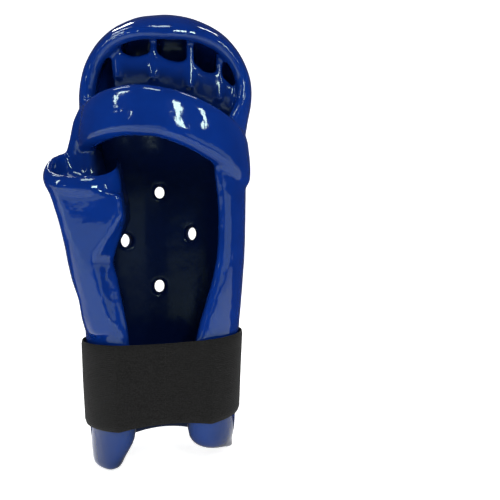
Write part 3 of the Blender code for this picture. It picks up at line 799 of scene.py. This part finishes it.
def noise_node(tree, scale, detail, vector, roughness=0.5):
    node = tree.nodes.new("ShaderNodeTexNoise")
    node.inputs["Scale"].default_value = scale
    node.inputs["Detail"].default_value = detail
    node.inputs["Roughness"].default_value = roughness
    tree.links.new(vector, node.inputs["Vector"])
    return node.outputs["Fac"]


def ramp_node(tree, fac, stops):
    node = tree.nodes.new("ShaderNodeValToRGB")
    ramp = node.color_ramp
    ramp.elements[0].position, ramp.elements[0].color = stops[0]
    ramp.elements[1].position, ramp.elements[1].color = stops[-1]
    for position, colour in stops[1:-1]:
        ramp.elements.new(position).color = colour
    tree.links.new(fac, node.inputs["Fac"])
    return node.outputs["Color"]


def range_node(tree, value, low, high):
    node = tree.nodes.new("ShaderNodeMapRange")
    node.inputs["To Min"].default_value = low
    node.inputs["To Max"].default_value = high
    tree.links.new(value, node.inputs["Value"])
    return node.outputs["Result"]


def bump_node(tree, height, distance, strength=1.0, normal=None):
    node = tree.nodes.new("ShaderNodeBump")
    node.inputs["Distance"].default_value = distance
    node.inputs["Strength"].default_value = strength
    tree.links.new(height, node.inputs["Height"])
    if normal is not None:
        tree.links.new(normal, node.inputs["Normal"])
    return node.outputs["Normal"]


def paper_material(name):
    material, _, shader = new_material(name)
    shader.inputs["Base Color"].default_value = (0.93, 0.93, 0.93, 1.0)
    shader.inputs["Roughness"].default_value = 0.9
    shader.inputs["Specular IOR Level"].default_value = 0.0
    shader.inputs["Emission Color"].default_value = (1.0, 1.0, 1.0, 1.0)
    shader.inputs["Emission Strength"].default_value = PAPER_GLOW
    return material


def fading_paper_material():
    """Paper whose glow fades in front of the guard, so that its gloss shows a darker room."""
    material = paper_material("pale_paper")
    tree = material.node_tree
    shader = tree.nodes["Principled BSDF"]
    where = tree.nodes.new("ShaderNodeTexCoord").outputs["Object"]
    split = tree.nodes.new("ShaderNodeSeparateXYZ")
    tree.links.new(where, split.inputs["Vector"])
    fade = tree.nodes.new("ShaderNodeMapRange")
    fade.interpolation_type = "SMOOTHSTEP"
    fade.inputs["From Min"].default_value = FADE_FROM
    fade.inputs["From Max"].default_value = FADE_TO
    fade.inputs["To Min"].default_value = FADED_GLOW
    fade.inputs["To Max"].default_value = PAPER_GLOW
    tree.links.new(split.outputs["Y"], fade.inputs["Value"])
    tree.links.new(fade.outputs["Result"], shader.inputs["Emission Strength"])
    return material


def vinyl_material():
    """Deep glossy blue with an orange-peel ripple. Painted shade darkens it inside the shell, where it
    is also duller.
    """
    material, tree, shader = new_material("dipped_blue_vinyl")
    where = tree.nodes.new("ShaderNodeTexCoord").outputs["Object"]
    patches = noise_node(tree, 22.0, 3.0, where)
    colour = ramp_node(tree, patches, (
        (0.30, (0.0014, 0.0170, 0.1450, 1.0)),
        (0.70, (0.0022, 0.0250, 0.1980, 1.0)),
    ))
    inside = tree.nodes.new("ShaderNodeAttribute")
    inside.attribute_name = "inside"
    # Painted shade: the inside mask mixes the base colour towards a near-black navy.
    shade = tree.nodes.new("ShaderNodeMixRGB")
    shade.inputs["Color2"].default_value = (0.0010, 0.0048, 0.0300, 1.0)
    tree.links.new(inside.outputs["Fac"], shade.inputs["Fac"])
    tree.links.new(colour, shade.inputs["Color1"])
    tree.links.new(shade.outputs["Color"], shader.inputs["Base Color"])
    smears = noise_node(tree, 60.0, 4.0, where, 0.6)
    dull = tree.nodes.new("ShaderNodeMath")
    dull.operation = "MULTIPLY_ADD"
    dull.inputs[1].default_value = 0.14
    tree.links.new(inside.outputs["Fac"], dull.inputs[0])
    tree.links.new(range_node(tree, smears, 0.04, 0.10), dull.inputs[2])
    tree.links.new(dull.outputs["Value"], shader.inputs["Roughness"])
    tree.links.new(range_node(tree, inside.outputs["Fac"], 0.5, 0.14),
                   shader.inputs["Specular IOR Level"])
    shader.inputs["IOR"].default_value = 1.42
    shader.inputs["Specular Tint"].default_value = (0.74, 1.0, 0.84, 1.0)
    peel = noise_node(tree, 420.0, 2.0, where)
    ripple = noise_node(tree, 95.0, 2.0, where)
    first = bump_node(tree, ripple, 0.0008, 0.45)
    tree.links.new(bump_node(tree, peel, 0.00010, 0.30, first), shader.inputs["Normal"])
    return material


def elastic_material():
    material, tree, shader = new_material("woven_black_elastic")
    where = tree.nodes.new("ShaderNodeTexCoord").outputs["Object"]
    mottle = noise_node(tree, 900.0, 2.0, where)
    colour = ramp_node(tree, mottle, (
        (0.35, (0.0018, 0.0018, 0.0019, 1.0)),
        (0.65, (0.0070, 0.0070, 0.0072, 1.0)),
    ))
    tree.links.new(colour, shader.inputs["Base Color"])
    shader.inputs["Roughness"].default_value = 0.80
    shader.inputs["Specular IOR Level"].default_value = 0.17
    shader.inputs["Sheen Weight"].default_value = 0.05
    shader.inputs["Sheen Roughness"].default_value = 0.45
    weave = tree.nodes.new("ShaderNodeTexWave")
    weave.wave_type = "BANDS"
    weave.bands_direction = "Z"
    weave.inputs["Scale"].default_value = 230.0
    weave.inputs["Distortion"].default_value = 0.6
    weave.inputs["Detail"].default_value = 1.0
    tree.links.new(where, weave.inputs["Vector"])
    ribs = bump_node(tree, weave.outputs["Fac"], 0.00012, 0.8)
    grain = noise_node(tree, 1500.0, 1.0, where)
    tree.links.new(bump_node(tree, grain, 0.0001, 0.5, ribs), shader.inputs["Normal"])
    return material


def pile_material():
    material, tree, shader = new_material("black_pile_tape")
    where = tree.nodes.new("ShaderNodeTexCoord").outputs["Object"]
    fuzz = noise_node(tree, 1100.0, 3.0, where, 0.7)
    colour = ramp_node(tree, fuzz, (
        (0.35, (0.0035, 0.0035, 0.0037, 1.0)),
        (0.70, (0.016, 0.016, 0.017, 1.0)),
    ))
    tree.links.new(colour, shader.inputs["Base Color"])
    shader.inputs["Roughness"].default_value = 0.95
    shader.inputs["Sheen Weight"].default_value = 0.2
    tree.links.new(bump_node(tree, fuzz, 0.0005, 1.0), shader.inputs["Normal"])
    return material


def thread_material():
    material, tree, shader = new_material("grey_thread")
    where = tree.nodes.new("ShaderNodeTexCoord").outputs["Object"]
    fibre = noise_node(tree, 2500.0, 1.0, where)
    colour = ramp_node(tree, fibre, (
        (0.3, (0.030, 0.030, 0.032, 1.0)),
        (0.7, (0.060, 0.060, 0.063, 1.0)),
    ))
    tree.links.new(colour, shader.inputs["Base Color"])
    shader.inputs["Roughness"].default_value = 0.6
    return material


# ---------------------------------------------------------------- strap
def forearm_size(z):
    """The half widths and depths of the forearm part at a height, between two of its ribs."""
    inside = min(max(z, FOREARM_LOW), FOREARM_HIGH)
    for low, high in zip(SIDE_STATIONS, SIDE_STATIONS[1:]):
        if low[0] <= inside <= high[0]:
            share = (inside - low[0]) / (high[0] - low[0])
            return [a + (b - a) * share for a, b in zip(low[1:5], high[1:5])]


def strap_point(angle, z, stand_off):
    """A point round the forearm part, in degrees from the spine. The whole strap slopes a little."""
    thumb, little, depth, back = forearm_size(z)
    turn = math.radians(angle)
    reach = little if turn > 0 else thumb
    x = (reach + stand_off) * math.sin(turn)
    return place(x, back + depth - (depth + stand_off) * math.cos(turn), z + STRAP_SLOPE * x)


def flat_stand_off(_):
    return STRAP_REST


def tail_stand_off(angle):
    """The tail lies on the tapes and comes down to the coat beyond them."""
    return TAIL_LEVEL + (STRAP_REST - TAIL_LEVEL) * ease(TAPE_END + 2.0, TAPE_END + 20.0, angle)


def palm_span_point(share, z, stand_off):
    """The free span between the two rims is pulled taut, so its lower edge draws in."""
    draw_in = (STRAP_HIGH - z) / (STRAP_HIGH - STRAP_LOW) * STRAP_WAIST
    z += draw_in * 4.0 * share * (1.0 - share)
    start = strap_point(SIDE_HINGE, z, stand_off)
    end = strap_point(PALM_HINGE, z, stand_off)
    bow = SPAN_BOW * 4.0 * share * (1.0 - share)
    return start.lerp(end, share) + Vector((0.0, -bow, 0.0))


def strip(name, columns):
    """A closed band. columns are rules from height to a point on its inner face."""
    rows = STRAP_ROWS
    inner = []
    outer = []
    for z in spread(STRAP_LOW, STRAP_HIGH, rows):
        line = [column(z) for column in columns]
        for index, point in enumerate(line):
            along = line[min(index + 1, len(line) - 1)] - line[max(index - 1, 0)]
            outward = Vector((-along.y, along.x, 0.0)).normalized()
            from_edge = min(z - STRAP_LOW, STRAP_HIGH - z)
            thin = EDGE_THIN * (1.0 - ease(0.0, EDGE_WIDTH, from_edge))
            inner.append(point + outward * thin)
            outer.append(point + outward * (STRAP_THICK - thin))
    count = len(columns)
    shift = len(inner)
    faces = []
    for row in range(rows):
        for index in range(count - 1):
            a = row * count + index
            faces.append((a, a + 1, a + count + 1, a + count))
            b = a + shift
            faces.append((b + count, b + count + 1, b + 1, b))
        for index in (0, count - 1):
            a = row * count + index
            faces.append((a, a + count, shift + a + count, shift + a))
    for index in range(count - 1):
        for base in (0, rows * count):
            a = base + index
            faces.append((a, a + 1, shift + a + 1, shift + a))
    return mesh_from(name, inner + outer, faces)


def round_columns(start, end, steps, rule):
    return [lambda z, a=angle: strap_point(a, z, rule(a)) for angle in spread(start, end, steps)]


def palm_columns(start, end, steps):
    return [lambda z, s=share: palm_span_point(s, z, STRAP_REST) for share in spread(start, end, steps)]


def finish_piece(thing, material):
    thing.data.shade_smooth()
    thing.data.set_sharp_from_angle(angle=math.radians(50.0))
    thing.data.materials.clear()
    thing.data.materials.append(material)


def strap_piece(name, columns, material):
    piece = add_object(name, strip(name, columns))
    finish_piece(piece, material)
    return piece


def stitch_row(node, angle, stand_off, body, material):
    """Separate stitches in a line across the strap, in place of a plain cord."""
    bm = bmesh.new()
    z = STRAP_LOW + STITCH_MARGIN_LOW
    while z + STITCH_PITCH < STRAP_HIGH - STITCH_MARGIN_HIGH:
        rings = []
        for part, size in STITCH_SHAPE:
            level = stand_off + GAP + THREAD_RADIUS * size
            centre = strap_point(angle, z + STITCH_LENGTH * part, level)
            rings.append(round_ring(centre, THREAD_RADIUS * size, THREAD_RADIUS * size, 8))
        bm.from_mesh(loft("stitch", rings))
        z += STITCH_PITCH
    mesh = bpy.data.meshes.new(node + "_stitches")
    bm.to_mesh(mesh)
    bm.free()
    thing = add_object(node + "_stitches", mesh)
    finish_piece(thing, material)
    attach(thing, body)
    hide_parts(node)


def build_strap():
    elastic = elastic_material()
    pile = pile_material()

    fixed = strap_piece("strap_fixed_band",
                        round_columns(FIXED_JOIN, BAND_END, 60, flat_stand_off), elastic)
    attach(fixed, "guard")
    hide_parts("strap_band")

    first = strap_piece("strap_palm_bend", palm_columns(0.5, 1.0, 24)[:-1]
                        + round_columns(PALM_HINGE, FIXED_JOIN, 20, flat_stand_off), elastic)
    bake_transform(first)

    second = strap_piece("strap_side_bend",
                         round_columns(SIDE_JOIN, SIDE_HINGE, 24, flat_stand_off)[:-1]
                         + palm_columns(0.0, 0.5, 24), elastic)
    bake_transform(second)
    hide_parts("strap_palm_span")

    third = strap_piece("strap_tail_bend",
                        round_columns(TAIL_JOIN, SIDE_JOIN, 50, tail_stand_off), elastic)
    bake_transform(third)
    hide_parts("strap_side_span")

    tail = strap_piece("strap_tail_end",
                       round_columns(TAIL_TIP, TAIL_JOIN, 30, tail_stand_off), elastic)
    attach(tail, "tail")
    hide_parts("strap_tail")

    for name in ("band_hem", "loop_tape", "hook_tape"):
        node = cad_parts[name]
        node.data.materials.clear()
        node.data.materials.append(elastic if name == "band_hem" else pile)

    thread = thread_material()
    hem = STRAP_REST + STRAP_THICK + GAP + TAPE_THICK
    tail_face = TAIL_LEVEL + STRAP_THICK
    stitch_row("hem_stitching", (HEM_END + BAND_END) / 2, hem, "guard", thread)
    stitch_row("tail_tip_stitching", TAIL_TIP + 2.0, tail_face, "tail", thread)
    stitch_row("tail_tape_stitching", TAPE_END - 6.0, tail_face, "tail", thread)


build_camera()
build_room()
build_floor()
build_lamps()
build_coat()
build_strap()
